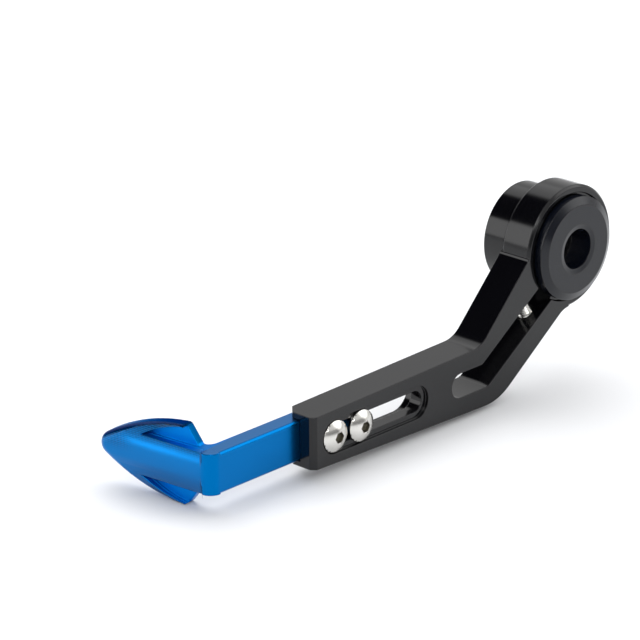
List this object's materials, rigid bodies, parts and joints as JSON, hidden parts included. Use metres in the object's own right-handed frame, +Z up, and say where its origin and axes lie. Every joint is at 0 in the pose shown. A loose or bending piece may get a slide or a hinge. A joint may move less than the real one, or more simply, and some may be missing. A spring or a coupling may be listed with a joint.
{
  "type": "motorcycle brake lever guard",
  "caption": "Lever guard for a motorcycle handlebar end: a cranked arm clamped on a bar-end body, with a sliding wing-shaped tip bent to shield the brake lever.",
  "frame": {"origin": "centre of the expander bore, on the rear face of the bar-end body", "axes": "+Y out of the expander bore towards the handlebar, -Y the front, +X from the tip towards the head, +Z up"},
  "size_m": [0.1659, 0.0495, 0.0597],
  "materials": {
    "arm_black": "black anodised, satin",
    "tip_blue": "blue anodised, satin",
    "stainless": "bright",
    "bar_end_black": "black anodised, satin",
    "cap_black": "black anodised, turned"
  },
  "bodies": {
    "head": {"bar_end": "bar_end_black", "cap": "cap_black"},
    "arm": {"arm": "arm_black", "clamp_screw": "stainless"},
    "tip": {"tip": "tip_blue", "outer_slide_screw": "stainless", "inner_slide_screw": "stainless"}
  },
  "joints": [
    {"name": "arm_turn", "type": "hinge", "parent": "head", "child": "arm", "pos_m": [0, 0, 0], "axis": [0, 1, 0], "continuous": true},
    {"name": "tip_slide", "type": "slide", "parent": "arm", "child": "tip", "axis": [1, 0, 0], "range_m": [0, 0.0225]}
  ]
}
